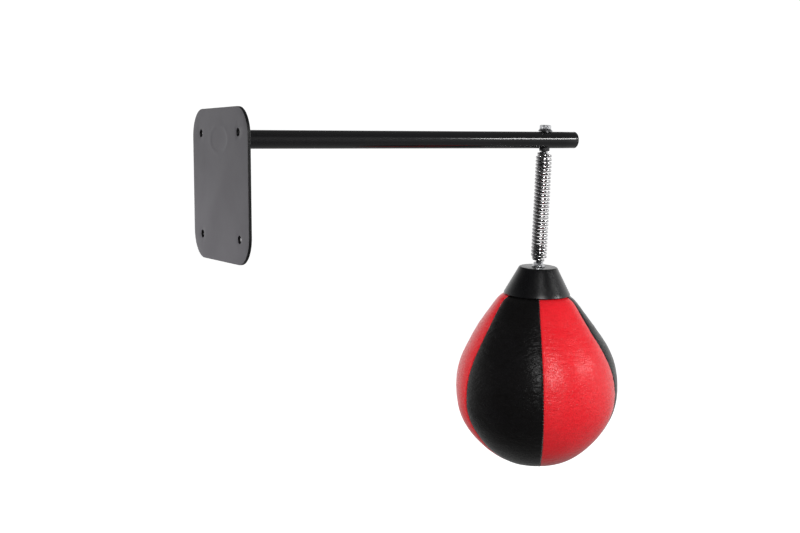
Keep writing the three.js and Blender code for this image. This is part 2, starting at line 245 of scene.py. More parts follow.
class Look:
    """A material built from nodes. A value given to an input is a number, a colour or a socket."""

    def __init__(self, name):
        self.material = bpy.data.materials.new(name)
        self.material.use_nodes = True
        self.tree = self.material.node_tree
        self.shader = self.tree.nodes["Principled BSDF"]

    def set(self, **inputs):
        for key, value in inputs.items():
            self.wire(self.shader.inputs[key.replace("_", " ")], value)
        return self

    def wire(self, socket, value):
        if isinstance(value, bpy.types.NodeSocket):
            self.tree.links.new(value, socket)
        else:
            socket.default_value = value

    def node(self, kind, inputs=None, out=0, **settings):
        made = self.tree.nodes.new("ShaderNode" + kind)
        for key, value in settings.items():
            setattr(made, key, value)
        for key, value in (inputs or {}).items():
            self.wire(made.inputs[key], value)
        return made.outputs[out]

    def place(self):
        return self.node("TexCoord", out="Object")

    def attribute(self, name):
        return self.node("Attribute", out="Vector", attribute_name=name)

    def stretch(self, vector, x, y, z=1.0):
        return self.node("VectorMath", {0: vector, 1: (x, y, z)}, operation="MULTIPLY")

    def turn(self, vector, degrees):
        return self.node("VectorRotate", {"Vector": vector, "Angle": math.radians(degrees)})

    def noise(self, vector, scale, detail=2.0, distortion=0.0, roughness=0.5):
        return self.node("TexNoise", {
            "Vector": vector, "Scale": scale, "Detail": detail,
            "Distortion": distortion, "Roughness": roughness,
        })

    def cells(self, vector, scale):
        return self.node("TexVoronoi", {"Vector": vector, "Scale": scale}, feature="DISTANCE_TO_EDGE")

    def math(self, operation, a, b=0.0, clamp=False):
        return self.node("Math", {0: a, 1: b}, operation=operation, use_clamp=clamp)

    def span(self, value, from_low, from_high, to_low=0.0, to_high=1.0, smooth=False):
        return self.node("MapRange", {
            "Value": value, "From Min": from_low, "From Max": from_high, "To Min": to_low, "To Max": to_high,
        }, interpolation_type="SMOOTHSTEP" if smooth else "LINEAR")

    def ridge(self, value):
        """1 along the line where the noise crosses its middle, 0 away from it."""
        off = self.math("ABSOLUTE", self.math("SUBTRACT", value, 0.5))
        return self.span(off, 0.0, 0.16, 1.0, 0.0, smooth=True)

    def mix(self, factor, a, b):
        made = self.tree.nodes.new("ShaderNodeMix")
        made.data_type = "RGBA"
        self.wire(made.inputs[0], factor)
        self.wire(made.inputs[6], a)
        self.wire(made.inputs[7], b)
        return made.outputs[2]

    def bump(self, height, distance, strength=1.0, normal=None):
        inputs = {"Height": height, "Distance": distance, "Strength": strength}
        if normal is not None:
            inputs["Normal"] = normal
        return self.node("Bump", inputs)

    def split(self, vector, axis):
        return self.node("SeparateXYZ", {0: vector}, out=axis)


def colour(r, g, b):
    """An sRGB colour of 0 to 255 as the linear colour that a shader takes."""
    def linear(c):
        c /= 255
        return c / 12.92 if c <= 0.04045 else ((c + 0.055) / 1.055) ** 2.4
    return (linear(r), linear(g), linear(b), 1.0)


def powder_coat(name, tint, gloss, sheen, peel, wave, shaded_edge=None):
    """Satin powder coat: a fine orange peel over slow waves, with tiny dust specks.

    Where an edge tint is given, faces turned away from the x axis take that darker tint: painted shade on the
    edges."""
    look = Look(name)
    at = look.place()
    fine = look.noise(at, 1100, 3)
    slow = look.noise(at, 45, 2)
    speck = look.span(look.noise(at, 2600, 1), 0.66, 0.72)
    worn = look.span(look.noise(at, 14, 4), 0.35, 0.75)
    base = look.mix(worn, colour(*tint), colour(*[c * 0.93 for c in tint]))
    base = look.mix(look.math("MULTIPLY", speck, 0.12), base, colour(*[c + 42 for c in tint]))
    # painted shade: edge faces, picked by their normal, get the darker edge tint
    if shaded_edge:
        facing = look.math("ABSOLUTE", look.split(look.node("TexCoord", out="Normal"), 0))
        base = look.mix(look.span(facing, 0.75, 0.97, smooth=True), colour(*shaded_edge), base)
    rough = look.span(look.math("ADD", look.math("MULTIPLY", fine, 0.4), look.math("MULTIPLY", worn, 0.6)),
                      0.2, 0.8, gloss - 0.02, gloss + 0.03)
    bumped = look.bump(slow, wave)
    bumped = look.bump(fine, peel, normal=bumped)
    return look.set(Base_Color=base, Roughness=rough, Normal=bumped, Specular_IOR_Level=sheen)


def metal(name, tint, gloss, grain=(1.0, 1.0, 1.0), strength=0.00001):
    """Plated steel: faint drawn lines and blotches in its gloss."""
    look = Look(name)
    at = look.place()
    lines = look.noise(look.stretch(at, *grain), 900, 4)
    blotch = look.noise(at, 160, 3)
    both = look.math("ADD", look.math("MULTIPLY", lines, 0.5), look.math("MULTIPLY", blotch, 0.5))
    base = look.mix(look.span(blotch, 0.35, 0.7), colour(*tint), colour(*[c * 0.88 for c in tint]))
    rough = look.span(both, 0.3, 0.7, gloss * 0.7, gloss * 1.5)
    return look.set(Base_Color=base, Roughness=rough, Metallic=1.0, Normal=look.bump(lines, strength))


def moulded(name, tint, gloss, sheen=0.5):
    """Moulded plastic with a faint spark-eroded grain and flow marks."""
    look = Look(name)
    at = look.place()
    grain = look.noise(at, 1500, 2)
    flow = look.noise(look.stretch(at, 1, 1, 0.25), 60, 3)
    base = look.mix(look.span(flow, 0.3, 0.7), colour(*tint), colour(*[c * 1.25 for c in tint]))
    rough = look.span(look.math("ADD", look.math("MULTIPLY", grain, 0.35), look.math("MULTIPLY", flow, 0.65)),
                      0.25, 0.75, gloss - 0.05, gloss + 0.06)
    bumped = look.bump(grain, 0.000005, normal=look.bump(flow, 0.00001))
    return look.set(Base_Color=base, Roughness=rough, Normal=bumped, Specular_IOR_Level=sheen)


def leather(name, tint, deep, pale, gloss, sheen):
    """Coated leather: fine grain, short wrinkles across the panel and crossing creases."""
    look = Look(name)
    at = look.attribute("hide")  # across, down and panel number, in centimetres
    down = look.split(at, 1)
    drift = look.noise(at, 0.45, 2)
    wander = look.noise(at, 1.1, 2)
    bent = look.node("VectorMath", {0: at, 1: look.node("CombineXYZ", {
        "Y": look.math("MULTIPLY", wander, 1.1), "X": look.math("MULTIPLY", drift, 0.8)})}, operation="ADD")
    level = look.ridge(look.noise(look.stretch(bent, 0.32, 2.5), 1.0, 2.5))
    rising = look.ridge(look.noise(look.stretch(look.turn(bent, 38), 0.3, 2.2), 1.0, 2))
    falling = look.ridge(look.noise(look.stretch(look.turn(bent, -34), 0.3, 2.2), 1.0, 2))
    patch = look.span(look.noise(at, 0.3, 1), 0.38, 0.62, smooth=True)
    other = look.span(look.noise(look.stretch(at, 1.0, 1.0, 3.1), 0.27, 1), 0.45, 0.62, smooth=True)
    onset = look.span(down, 6, 12, smooth=True)
    fading = look.span(down, 24, 33, 1, 0.15, smooth=True)
    worked = look.math("MULTIPLY", onset, fading)
    creases = look.math("ADD", level, look.math("MULTIPLY", rising, patch))
    creases = look.math("ADD", creases, look.math("MULTIPLY", falling, other))
    creases = look.math("MULTIPLY", creases, look.span(worked, 0, 1, 0.25, 1.0))
    wrinkles = look.ridge(look.noise(look.stretch(bent, 1.6, 5.2), 1.0, 3))
    wrinkles = look.math("MULTIPLY", wrinkles, look.span(worked, 0, 1, 0.2, 1.0))
    pebble = look.noise(look.stretch(at, 1.0, 1.3), 3.4, 2)
    pores = look.cells(look.stretch(at, 1.0, 1.0, 2.0), 11)
    grain = look.noise(at, 16, 3)
    soft = look.noise(at, 1.8, 3)
    height = look.bump(soft, 0.00012)
    height = look.bump(creases, 0.00016, normal=height)
    height = look.bump(wrinkles, 0.00006, normal=height)
    height = look.bump(pebble, 0.00007, normal=height)
    height = look.bump(look.math("MINIMUM", pores, 0.06), 0.00015, normal=height)
    height = look.bump(grain, 0.00001, normal=height)
    tone = look.mix(look.span(soft, 0.3, 0.7), colour(*tint), colour(*deep))
    tone = look.mix(look.math("MULTIPLY", creases, 0.12), tone, colour(*pale))
    tone = look.mix(look.span(pores, 0.0, 0.05, 0.25, 0.0), tone, colour(*deep))
    rough = look.span(look.math("ADD", look.math("MULTIPLY", grain, 0.5), look.math("MULTIPLY", soft, 0.5)),
                      0.25, 0.75, gloss - 0.06, gloss + 0.08)
    return look.set(Base_Color=tone, Roughness=rough, Normal=height, Specular_IOR_Level=sheen)


def rubber_like(name, tint, gloss):
    look = Look(name)
    at = look.place()
    dust = look.noise(at, 220, 4)
    base = look.mix(look.span(dust, 0.4, 0.7), colour(*tint), colour(*[c + 14 for c in tint]))
    return look.set(Base_Color=base, Roughness=look.span(dust, 0.3, 0.7, gloss - 0.06, gloss + 0.06),
                    Normal=look.bump(dust, 0.00008))


def twisted_thread(name, tint):
    look = Look(name)
    at = look.place()
    ply = look.node("TexWave", {"Vector": at, "Scale": 900.0, "Distortion": 2.0}, out="Fac",
                    bands_direction="DIAGONAL")
    base = look.mix(look.span(ply, 0.2, 0.8), colour(*tint), colour(*[c * 0.72 for c in tint]))
    return look.set(Base_Color=base, Roughness=0.62, Normal=look.bump(ply, 0.00006))


LOOKS = {
    # the plate's last tint (14, 14, 15) is painted shade on its edge faces
    "plate": powder_coat("plate powder coat", (82, 80, 85), 0.42, 0.25, 0.000012, 0.00004, (14, 14, 15)),
    "tube": powder_coat("tube powder coat", (22, 22, 23), 0.13, 0.5, 0.000002, 0.000015),
    "plastic": moulded("cone plastic", (14, 14, 15), 0.27, 0.45),
    "plug": moulded("plug plastic", (17, 17, 18), 0.45),
    "zinc": metal("bright zinc", (214, 215, 218), 0.24, strength=0.000003),
    "chrome": metal("spring chrome", (224, 223, 224), 0.2, strength=0.000001),
    "steel": metal("plain steel", (150, 151, 154), 0.36),
    "saddle": moulded("saddle plastic", (24, 24, 25), 0.5),
    "red": leather("red leather", (228, 34, 44), (216, 26, 36), (240, 66, 70), 0.27, 0.3),
    "black": leather("black leather", (18, 17, 17), (13, 12, 12), (26, 26, 28), 0.27, 0.13),
    "rubber": rubber_like("bladder rubber", (26, 26, 27), 0.7),
    "thread": twisted_thread("waxed thread", (120, 120, 118)),
}


def finish(piece, look, body, slot, *nodes):
    """Gives a piece its material and its body, and hides the CAD nodes that it stands for. The slot is not
    used.
    """
    piece.data.materials.clear()
    piece.data.materials.append(LOOKS[look].material)
    if body:
        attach(piece, body)
    if nodes:
        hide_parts(*nodes)
    return piece


# ---------------------------------------------------------------- camera

camera = bpy.data.objects.new("camera", bpy.data.cameras.new("camera"))
bpy.context.scene.collection.objects.link(camera)
bpy.context.scene.camera = camera
camera.data.sensor_width = 36
camera.data.lens = 55.35
camera.data.clip_start, camera.data.clip_end = 0.05, 60
CAMERA_PITCH, CAMERA_ROLL = math.radians(5.49), math.radians(-0.10)
camera.location = (-0.5675, -1.5195, 0.0470)
camera.rotation_euler = (
    Matrix.Rotation(-VIEW_YAW, 3, "Z") @ Matrix.Rotation(math.pi / 2 - CAMERA_PITCH, 3, "X")
    @ Matrix.Rotation(CAMERA_ROLL, 3, "Z")
).to_euler()

# ---------------------------------------------------------------- wall plate


def ring_points(centre_y, centre_z, radius, count):
    angles = [2 * math.pi * k / count for k in range(count)]
    return [(centre_y + radius * math.cos(a), centre_z + radius * math.sin(a)) for a in angles]


def plate_rim(inset, steps=14):
    """The plate's outline moved inwards, counter-clockwise in (y, z)."""
    straight, radius = PLATE_SIDE / 2 - PLATE_CORNER, PLATE_CORNER - inset
    out = []
    for quarter, (sy, sz) in enumerate(((1, 1), (-1, 1), (-1, -1), (1, -1))):
        for k in range(steps + 1):
            a = (quarter + k / steps) * math.pi / 2
            out.append((sy * straight + radius * math.cos(a), sz * straight + radius * math.sin(a)))
    return out


def wall_plate():
    """A laser-cut plate with softened edges. The weld has printed through as a faint ring at the back."""
    edge, arc = 0.55, 4
    holes = [(sy * HOLE_SPACING / 2, sz * HOLE_SPACING / 2) for sy in (-1, 1) for sz in (-1, 1)]
    loops = [plate_rim(edge)] + [ring_points(y, z, HOLE_RADIUS + edge, 40) for y, z in holes]
    flat, edges = [], []
    for loop in loops:
        base = len(flat)
        flat += loop
        edges += [(base + i, base + (i + 1) % len(loop)) for i in range(len(loop))]
    inner = [r for radius in (7, 14, 17, 19, 21, 23, 25, 27, 29, 32, 38)
             for r in ring_points(0, TUBE_Z, radius, 48) if r[1] < 99]
    grid = [(y, z) for y in range(-95, 96, 10) for z in range(-95, 96, 10)]

    def clear(y, z):
        corner = max(abs(y), abs(z)) < 96 and not (
            abs(y) > 66 and abs(z) > 66 and math.hypot(abs(y) - 63, abs(z) - 63) > 33)
        return corner and all(math.hypot(y - hy, z - hz) > 8.5 for hy, hz in holes)

    flat += [p for p in inner if clear(*p)]
    flat += [p for p in grid if clear(*p) and math.hypot(p[0], p[1] - TUBE_Z) > 42]
    made = geometry.delaunay_2d_cdt([Vector(p) for p in flat], edges, [], 1, 1e-6)
    spots, triangles = made[0], made[2]

    def in_hole(face):
        y = sum(spots[i].x for i in face) / 3
        z = sum(spots[i].y for i in face) / 3
        return any(math.hypot(y - hy, z - hz) < HOLE_RADIUS + edge - 0.01 for hy, hz in holes)

    triangles = [f for f in triangles if not in_hole(f)]

    def print_through(y, z):
        r = math.hypot(y / 1.4, (z - TUBE_Z) / 0.82)
        wave = noise.noise(Vector((y * 0.11, z * 0.11, 3.7)))
        ring = math.exp(-(((r - 22.5 - wave) / 3.0) ** 2)) * 0.34
        return ring - math.exp(-((r / 17) ** 4)) * 0.1 + 0.06 * noise.noise(Vector((y * 0.03, z * 0.03, 1.3)))

    count = len(spots)
    points = [(-print_through(p.x, p.y), p.x, p.y) for p in spots]
    points += [(PLATE_THICK, p.x, p.y) for p in spots]
    faces = [tuple(f) for f in triangles] + [tuple(i + count for i in reversed(f)) for f in triangles]
    index = 0
    for number, loop in enumerate(loops):
        if number == 0:
            def shifted(inset):
                return plate_rim(inset)
        else:
            def shifted(inset, at=holes[number - 1]):
                return ring_points(*at, HOLE_RADIUS + inset, 40)
        rows = [[index + i for i in range(len(loop))]]
        for k in range(1, arc + 1):
            a = math.pi / 2 * k / arc
            for_x, inset = edge * (1 - math.cos(a)), edge * (1 - math.sin(a))
            rows.append(range(len(points), len(points) + len(loop)))
            points += [(for_x, y, z) for y, z in shifted(inset)]
        for k in range(arc, 0, -1):
            a = math.pi / 2 * k / arc
            for_x, inset = PLATE_THICK - edge * (1 - math.cos(a)), edge * (1 - math.sin(a))
            rows.append(range(len(points), len(points) + len(loop)))
            points += [(for_x, y, z) for y, z in shifted(inset)]
        rows.append([index + count + i for i in range(len(loop))])
        for a, b in zip(rows, rows[1:]):
            faces += [(a[i], a[(i + 1) % len(loop)], b[(i + 1) % len(loop)], b[i]) for i in range(len(loop))]
        index += len(loop)
    return mesh_object("plate", points, faces, sharp=40)


def weld_bead():
    """A fillet weld laid as overlapping coins round the tube."""
    inner, start = TUBE_RADIUS + GAP, PLATE_THICK + GAP
    coins, segments, arc = 26, 312, 7
    points, faces = [], []
    for k in range(segments):
        a = 2 * math.pi * k / segments
        phase = (k * coins / segments) % 1.0
        uneven = 0.25 * noise.noise(Vector((math.cos(a) * 2, math.sin(a) * 2, 4)))
        leg = WELD_LEG * (1 + 0.05 * uneven) - 0.35 + 0.55 * math.sqrt(max(0.0, 1 - (2 * phase - 1) ** 2))
        leg = min(leg, WELD_LEG + 0.25)
        section = [(inner, start), (inner + leg, start)]
        for j in range(1, arc):
            b = math.pi / 2 * j / arc
            swell = 0.78 + 0.08 * math.sin(2 * b)
            section.append((inner + leg * math.cos(b) * swell, start + leg * math.sin(b) * swell))
        section.append((inner, start + leg))
        points += [(r * math.cos(a), r * math.sin(a), z) for r, z in section]
    n = arc + 2
    for k in range(segments):
        a, b = k * n, ((k + 1) % segments) * n
        faces += [(a + j, a + (j + 1) % n, b + (j + 1) % n, b + j) for j in range(n)]
    return mesh_object("weld", points, faces, place=ARM, sharp=50)


def arm_tube():
    inner = TUBE_RADIUS - TUBE_WALL
    length = 24
    outer_rows = [(TUBE_RADIUS, TUBE_START + (TUBE_END - TUBE_START) * i / length) for i in range(1, length)]
    section = filleted([(inner, TUBE_START, 0.3), (TUBE_RADIUS, TUBE_START, 0.5),
                        (TUBE_RADIUS, TUBE_END, 0.5), (inner, TUBE_END, 0.3)], 3)
    section[8:8] = outer_rows
    tube = mesh_object("tube", *lathe(section, 96), place=ARM)
    radius = 5.5
    drill = mesh_object("drill", *lathe([(0, 20), (radius, 20), (radius, -20), (0, -20)], 48), place=HANG)
    return boolean(tube, drill)


def end_cap():
    face = TUBE_END + GAP
    skirt = TUBE_RADIUS - TUBE_WALL - GAP
    start, rim = face - 14, 2.0
    corners = [(0, face, 0), (skirt - 2.6, face, 0.4), (skirt - 2.6, start, 0.3), (skirt - 0.6, start, 0.5)]
    for i in range(3):
        z = start + 4.4 * (i + 0.5) + 0.4
        corners += [(skirt - 0.6, z - 1, 0), (skirt, z, 0.3), (skirt - 0.6, z + 1, 0)]
    corners += [(skirt - 0.6, face, 0.1), (TUBE_RADIUS, face, 0.3), (TUBE_RADIUS, face + rim, 1.2)]
    section = filleted(corners, 4) + [(TUBE_RADIUS * 0.55, face + rim + 0.12), (0, face + rim + 0.15)]
    return mesh_object("end_cap", *lathe(section, 72), place=ARM)


# ---------------------------------------------------------------- fasteners on the hanging axis


def arm_bolt():
    """A flanged hexagon bolt: its shank crosses the tube and threads into the upper anchor."""
    seat, tip = TUBE_RADIUS + GAP, 44.0
    flange, neck = 11.0, 7.7
    under = seat + 0.35
    section = [(0, -tip), (3.9, -tip)] + threaded(4.95, -tip + 1, -SPRING_TOP - 6, 1.5, 0.75)
    section += [(5.0, -SPRING_TOP - 5), (5.0, seat + 0.01), (9.6, seat + 0.01), (10.4, under)]
    section += [(flange - 0.15, under + 0.2), (flange, under + 0.6), (flange - 0.25, seat + 1.6)]
    section += [(neck + 1.2, seat + 3.2), (neck + 0.2, seat + 4.0), (neck - 0.4, seat + 4.3), (0, seat + 4.3)]
    shank = lathe(section, 72)
    head = hexagonal(15, seat + 3.0, seat + 9.6)
    return joined("arm_bolt_head", [shank, head], place=HANG)


def saddle_washer():
    """Its upper face is hollowed to the tube."""
    outer, bore, low = 7.7, 5.4, -(SPRING_TOP - GAP)
    round_tube = TUBE_RADIUS + GAP
    section = [(bore, low), (bore, 0.0), (outer - 0.4, 0.0)]
    section += [(outer, -1.0), (outer, low + 0.4), (outer - 0.4, low)]

    def wobble(i, a, r, z):
        top = -math.sqrt(round_tube ** 2 - (r * math.sin(a)) ** 2)
        return (r, top - (0.3 if i == 3 else 0)) if z > -2 else (r, z)

    return mesh_object("saddle", *lathe(section, 72, wobble), place=HANG, sharp=40)


def anchor(name, bore, top):
    low = top - ANCHOR_LENGTH
    corners = [(bore, low, 0.4), (ANCHOR_RADIUS, low, 1), (ANCHOR_RADIUS, top, 1), (bore, top, 0.4)]
    section = filleted(corners, 3)
    return mesh_object(name, *lathe(section, 64), place=HANG)


def coil(name, from_depth, to_depth):
    """The part of the spring's wire between two depths on the axis. Its ends are cut square."""
    first, last = SPRING_TOP + WIRE / 2, SPRING_BOTTOM - WIRE / 2
    per_turn, sides = 40, 14
    begin = max(0.0, (from_depth - first) / (last - first) * COILS)
    end = min(float(COILS), (to_depth - first) / (last - first) * COILS)
    turns = np.linspace(begin, end, int(round((end - begin) * per_turn)) + 1)
    draw = smoothstep(turns / TAPER_TURNS), smoothstep((COILS - turns) / TAPER_TURNS)
    radius = COIL_RADIUS - (1 - draw[0]) * (COIL_RADIUS - COIL_TOP_RADIUS)
    radius -= (1 - draw[1]) * (COIL_RADIUS - COIL_BOTTOM_RADIUS)
    angle = turns * 2 * math.pi * HAND
    depth = first + (last - first) * turns / COILS
    line = np.stack([radius * np.cos(angle), radius * np.sin(angle), -depth], 1)
    along = np.gradient(line, axis=0)
    along /= np.linalg.norm(along, axis=1)[:, None]
    out = np.stack([np.cos(angle), np.sin(angle), 0 * angle], 1)
    out -= (out * along).sum(1)[:, None] * along
    out /= np.linalg.norm(out, axis=1)[:, None]
    up = np.cross(along, out)
    points = []
    for k in range(len(turns)):
        for j in range(sides):
            a = 2 * math.pi * j / sides
            points.append(tuple(line[k] + WIRE / 2 * (math.cos(a) * out[k] + math.sin(a) * up[k])))
    faces = []
    for k in range(len(turns) - 1):
        for j in range(sides):
            n = (j + 1) % sides
            faces.append((k * sides + j, k * sides + n, (k + 1) * sides + n, (k + 1) * sides + j))
    faces.append(tuple(range(sides)))
    faces.append(tuple(reversed(range((len(turns) - 1) * sides, len(turns) * sides))))
    return mesh_object(name, points, faces, place=HANG, sharp=60)


def cap_washer():
    seat = GAP - CAP_TOP
    section = filleted([(4.4, seat, 0.2), (10, seat, 0.35), (10, seat + 1.7, 0.6), (4.4, seat + 1.7, 0.2)], 3)
    return mesh_object("washer", *lathe(section, 64), place=HANG)


def cap_nut():
    seat = 1.7 + 2 * GAP - CAP_TOP
    return mesh_object("nut", *hexagonal(13, seat, seat + 5, bore=4.3, chamfer_low=True), place=HANG)


def bag_bolt():
    neck_top = -CAP_TOP - 11.4 - GAP
    seat = neck_top - LEATHER - 3 * GAP - 2.5 - GAP
    shank = lathe([(0, seat), (4, seat), (4, -CAP_TOP - 6)]
                  + threaded(4.0, -CAP_TOP - 5, -161.5, 1.25, 0.62) + [(3.2, -160), (0, -160)], 48)
    head = hexagonal(13, seat, seat + 5.3)
    head = ([(x, y, 2 * seat - z) for x, y, z in head[0]], head[1])
    return joined("bag_bolt_shank", [shank, head], place=HANG)


def cone_cap():
    """A moulded cone with a rounded top edge, a thick rim and a boss inside."""
    height = CAP_RIM - CAP_TOP
    top, rim, wall = 28.9, 51.3, 3.0
    flare = (rim - top) / height
    slant = wall * math.hypot(1, flare)
    inner = [(top + flare * 4 - slant, -4, 1.5), (14, -4, 1.0), (14, -11.4, 0.8), (4.4, -11.4, 0.3)]
    outer = [(4.4, 0, 0.5), (13.5, 0, 0), (top, 0, 2.6), (rim, -height, 1.0), (rim - slant, -height, 0.8)]
    section = filleted([*outer, *inner], 6)
    fine = []
    for a, b in zip(section, section[1:]):
        steps = max(1, int(math.hypot(b[0] - a[0], b[1] - a[1]) / 6))
        fine += [(a[0] + (b[0] - a[0]) * i / steps, a[1] + (b[1] - a[1]) * i / steps) for i in range(steps)]
    fine.append(section[-1])
    return mesh_object("cone", *lathe([(r, z - CAP_TOP) for r, z in fine], 144), place=HANG, sharp=40)


# ---------------------------------------------------------------- bag


def between(s, low, high, a, b):
    """Point a at low and point b at high, blended straight at s."""
    return (high - s) / (high - low) * a + (s - low) / (high - low) * b


def catmull_rom(knots, per_span):
    """A centripetal Catmull-Rom curve through the knots."""
    knots = np.array(knots, float)
    ends = np.vstack([2 * knots[0] - knots[1], knots, 2 * knots[-1] - knots[-2]])
    out = []
    for i in range(len(knots) - 1):
        p = ends[i:i + 4]
        t = np.concatenate([[0], np.cumsum(np.linalg.norm(np.diff(p, axis=0), axis=1) ** 0.5)])
        for s in np.linspace(t[1], t[2], per_span, endpoint=False):
            a = [between(s, t[k], t[k + 1], p[k], p[k + 1]) for k in range(3)]
            b = [between(s, t[k], t[k + 2], a[k], a[k + 1]) for k in range(2)]
            out.append(between(s, t[1], t[2], b[0], b[1]))
    out.append(knots[-1])
    return np.array(out)


class Outline:
    """The bag's half outline by distance down it, with its outward direction."""

    def __init__(self):
        self.points = catmull_rom(OUTLINE, 40)
        steps = np.linalg.norm(np.diff(self.points, axis=0), axis=1)
        self.down = np.concatenate([[0], np.cumsum(steps)])
        self.length = self.down[-1]

    def at(self, down):
        r = np.interp(down, self.down, self.points[:, 0])
        z = np.interp(down, self.down, self.points[:, 1])
        near = 1.5
        ahead, behind = np.clip(down + near, 0, self.length), np.clip(down - near, 0, self.length)
        dr = np.interp(ahead, self.down, self.points[:, 0]) - np.interp(behind, self.down, self.points[:, 0])
        dz = np.interp(ahead, self.down, self.points[:, 1]) - np.interp(behind, self.down, self.points[:, 1])
        size = np.hypot(dr, dz)
        return r, z, -dz / size, dr / size


outline = Outline()


def hang(points):
    """Swings points of the straight bag back from the leaning axis, so that it hangs nearly plumb."""
    x, y, z = points[:, 0], points[:, 1], points[:, 2]
    c, s = math.cos(SWING_TOWARDS), math.sin(SWING_TOWARDS)
    ahead, aside = x * c + y * s, y * c - x * s
    reach = np.clip((-z - SWING_FROM) / SWING_LENGTH, 0, 1)
    angle = SWING * reach
    below = np.maximum(-z - SWING_FROM - SWING_LENGTH, 0)
    drift = SWING * (SWING_LENGTH * reach ** 2 / 2 + below)
    ahead, z = ahead * np.cos(angle) + drift, z + ahead * np.sin(angle)
    return np.stack([ahead * c - aside * s, ahead * s + aside * c, z - CAP_RIM], 1)


def waves(points, scale, seed):
    """Smooth noise in -1 to 1 at each row of points."""
    return np.array([noise.noise(Vector(p) * scale + Vector((seed, seed * 0.7, -seed))) for p in points])


def skin_offset(across, down, from_seam, number):
    """How far the leather stands proud of the plain outline: a belly, soft dents and seam puckers."""
    height = np.full(len(down), 17.0 * number)
    slow = waves(np.stack([across, down, height], 1), 1 / 55, 3.1)
    mid = waves(np.stack([across * 0.6, down * 1.5, height], 1), 1 / 17, 8.4)
    pucker = waves(np.stack([across * 0.22, down, height], 1), 1 / 4.6, 5.9)
    shorter = waves(np.stack([across * 0.3, down, height], 1), 1 / 2.6, 1.7)
    near = np.exp(-from_seam / 13.0) * smoothstep(from_seam, 0.0, 2.5)
    strained = smoothstep(down, 45, 110) * (1 - 0.75 * smoothstep(down, 250, 330))
    wide = np.exp(-from_seam / 45.0)
    puckers = (0.3 * pucker + 0.14 * shorter) * near * (0.35 + 0.65 * strained)
    return 0.8 * slow + 0.3 * mid * strained + puckers + 0.1 * pucker * wide * strained


def seam_angle(number, level):
    """The angle of a seam at a height, in radians. Seam six is seam zero, one turn on."""
    rim, neck, belly = SEAMS[number % len(SEAMS)]
    depth = -np.asarray(level, float)
    angle = rim + (neck - rim) * smoothstep(depth, *NECK_DRIFT)
    angle = angle + (belly - neck) * smoothstep(depth, *BELLY_DRIFT)
    return np.radians(angle + 360 * (number // len(SEAMS)))


def panel(name, number):
    """One leather panel: a closed shell whose edges are turned in at the seams."""
    rows = 250
    down = np.linspace(0, outline.length, rows)
    radius, level, out_r, out_z = outline.at(down)
    start, end = seam_angle(number, level), seam_angle(number + 1, level)
    middle, half = (start + end) / 2, (end - start) / 2
    edge = np.array([0.0, 0.12, 0.35, 0.7, 1.15, 1.7, 2.4, 3.4, 4.8, 6.6])
    inside = 40
    grid = []
    for i in range(rows):
        reach = half[i] * radius[i] - SEAM_GAP / 2
        scale = min(1.0, reach / 22.0)
        left = edge * scale
        right_part = np.linspace(left[-1], 2 * reach - left[-1], inside + 2)[1:-1]
        grid.append(np.concatenate([left, right_part, (2 * reach - left)[::-1]]) - reach)
    across = np.array(grid)
    columns = across.shape[1]
    reach = (half * radius - SEAM_GAP / 2)[:, None]
    from_seam = reach - np.abs(across)
    flat = lambda a: np.broadcast_to(a, across.shape).ravel()
    roll = np.minimum(1.9, reach * 0.5)
    inward = np.clip(1 - from_seam / roll, 0, 1)
    turned_in = roll * (1 - np.sqrt(1 - inward ** 2))
    offset = skin_offset(across.ravel(), flat(down[:, None]), from_seam.ravel(), number).reshape(across.shape)
    offset = offset * smoothstep(radius, 20, 60)[:, None] * smoothstep(down, 38, 60)[:, None]
    pull = radius[:, None] * SEAM_PULL * (across / reach) ** 4
    points = []
    for depth in (0.0, LEATHER):
        proud = offset - (turned_in if depth == 0 else np.minimum(turned_in * 0.15, 0.3)) - depth
        angle = middle[:, None] + across / radius[:, None]
        r = radius[:, None] - pull + out_r[:, None] * proud
        z = level[:, None] + out_z[:, None] * proud
        points.append(np.stack([r * np.cos(angle), r * np.sin(angle), z], 2).reshape(-1, 3))
    layer = rows * columns
    faces = []
    for i in range(rows - 1):
        for j in range(columns - 1):
            a = i * columns + j
            faces.append((a, a + columns, a + columns + 1, a + 1))
            faces.append((layer + a, layer + a + 1, layer + a + columns + 1, layer + a + columns))
        for j in (0, columns - 1):
            a, b = i * columns + j, (i + 1) * columns + j
            faces.append((a, layer + a, layer + b, b) if j == 0 else (a, b, layer + b, layer + a))
    for j in range(columns - 1):
        top, foot = j, (rows - 1) * columns + j
        faces.append((top, top + 1, layer + top + 1, layer + top))
        faces.append((foot, layer + foot, layer + foot + 1, foot + 1))
    made = mesh_object(name, hang(np.vstack(points)).tolist(), faces, place=HANG, sharp=0)
    hide = np.stack([across.ravel() / 10, flat(down[:, None]) / 10, np.full(layer, 7.3 * number)], 1)
    attribute = made.data.attributes.new("hide", "FLOAT_VECTOR", "POINT")
    attribute.data.foreach_set("vector", np.vstack([hide, hide]).ravel())
    return made


